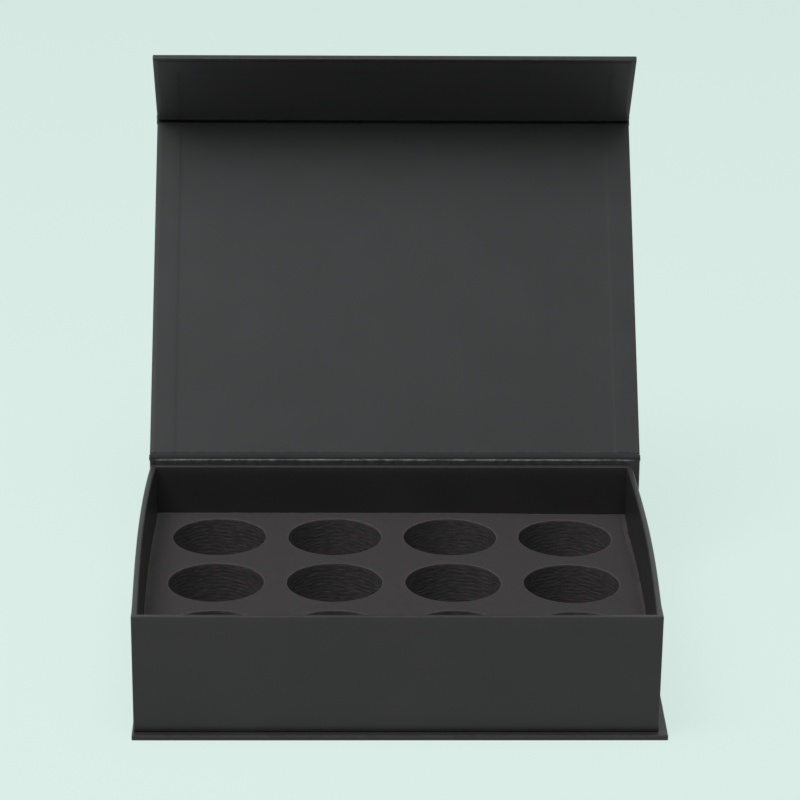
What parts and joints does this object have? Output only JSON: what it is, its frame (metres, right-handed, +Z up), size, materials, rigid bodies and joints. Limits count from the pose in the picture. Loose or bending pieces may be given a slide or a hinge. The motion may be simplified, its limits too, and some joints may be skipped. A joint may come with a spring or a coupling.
{
  "type": "golf ball gift box",
  "caption": "Black rigid gift box for golf balls: paper-hinged lid with a folding magnetic flap, a wrapped tray and a foam insert with round pockets.",
  "frame": {"origin": "centre of the case's footprint, on the underside of its base panel", "axes": "+Z up from the table, -Y towards the front with the flap's side of the tray, +X to the right seen from the front"},
  "size_m": [0.2329, 0.3022, 0.2318],
  "materials": {
    "wrap_paper": "satin",
    "lining_paper": "matte",
    "greyboard": "matte",
    "stay_tape": "matte",
    "foam": "matte",
    "magnet": "satin"
  },
  "bodies": {
    "root": {"base_board": "greyboard", "spine_board": "greyboard", "case_wrap": "wrap_paper", "spine_lining": "lining_paper", "tray_board": "greyboard", "corner_tape_1": "stay_tape", "corner_tape_2": "stay_tape", "corner_tape_3": "stay_tape", "corner_tape_4": "stay_tape", "tray_wrap": "wrap_paper", "tray_floor_lining": "lining_paper", "foam_insert": "foam", "tray_magnet_1": "magnet", "tray_magnet_2": "magnet"},
    "lid": {"lid_crease_wrap": "wrap_paper", "lid_crease_lining": "lining_paper", "lid_board": "greyboard", "lid_wrap": "wrap_paper", "lid_lining": "lining_paper"},
    "flap": {"flap_crease_wrap": "wrap_paper", "flap_crease_lining": "lining_paper", "flap_board": "greyboard", "flap_wrap": "wrap_paper", "flap_lining": "lining_paper", "flap_magnet_1": "magnet", "flap_magnet_2": "magnet"}
  },
  "joints": [
    {"name": "lid_hinge", "type": "hinge", "parent": "root", "child": "lid", "pos_m": [0, 0.08955, 0.05895], "axis": [-1, 0, 0], "range_deg": [-133.1, 46.9], "deforming": ["lid_crease_wrap", "lid_crease_lining"]},
    {"name": "flap_hinge", "type": "hinge", "parent": "lid", "child": "flap", "pos_m": [0, 0.21165, 0.18943], "axis": [1, 0, 0], "range_deg": [-83.7, 6.3], "deforming": ["flap_crease_wrap", "flap_crease_lining"]}
  ]
}
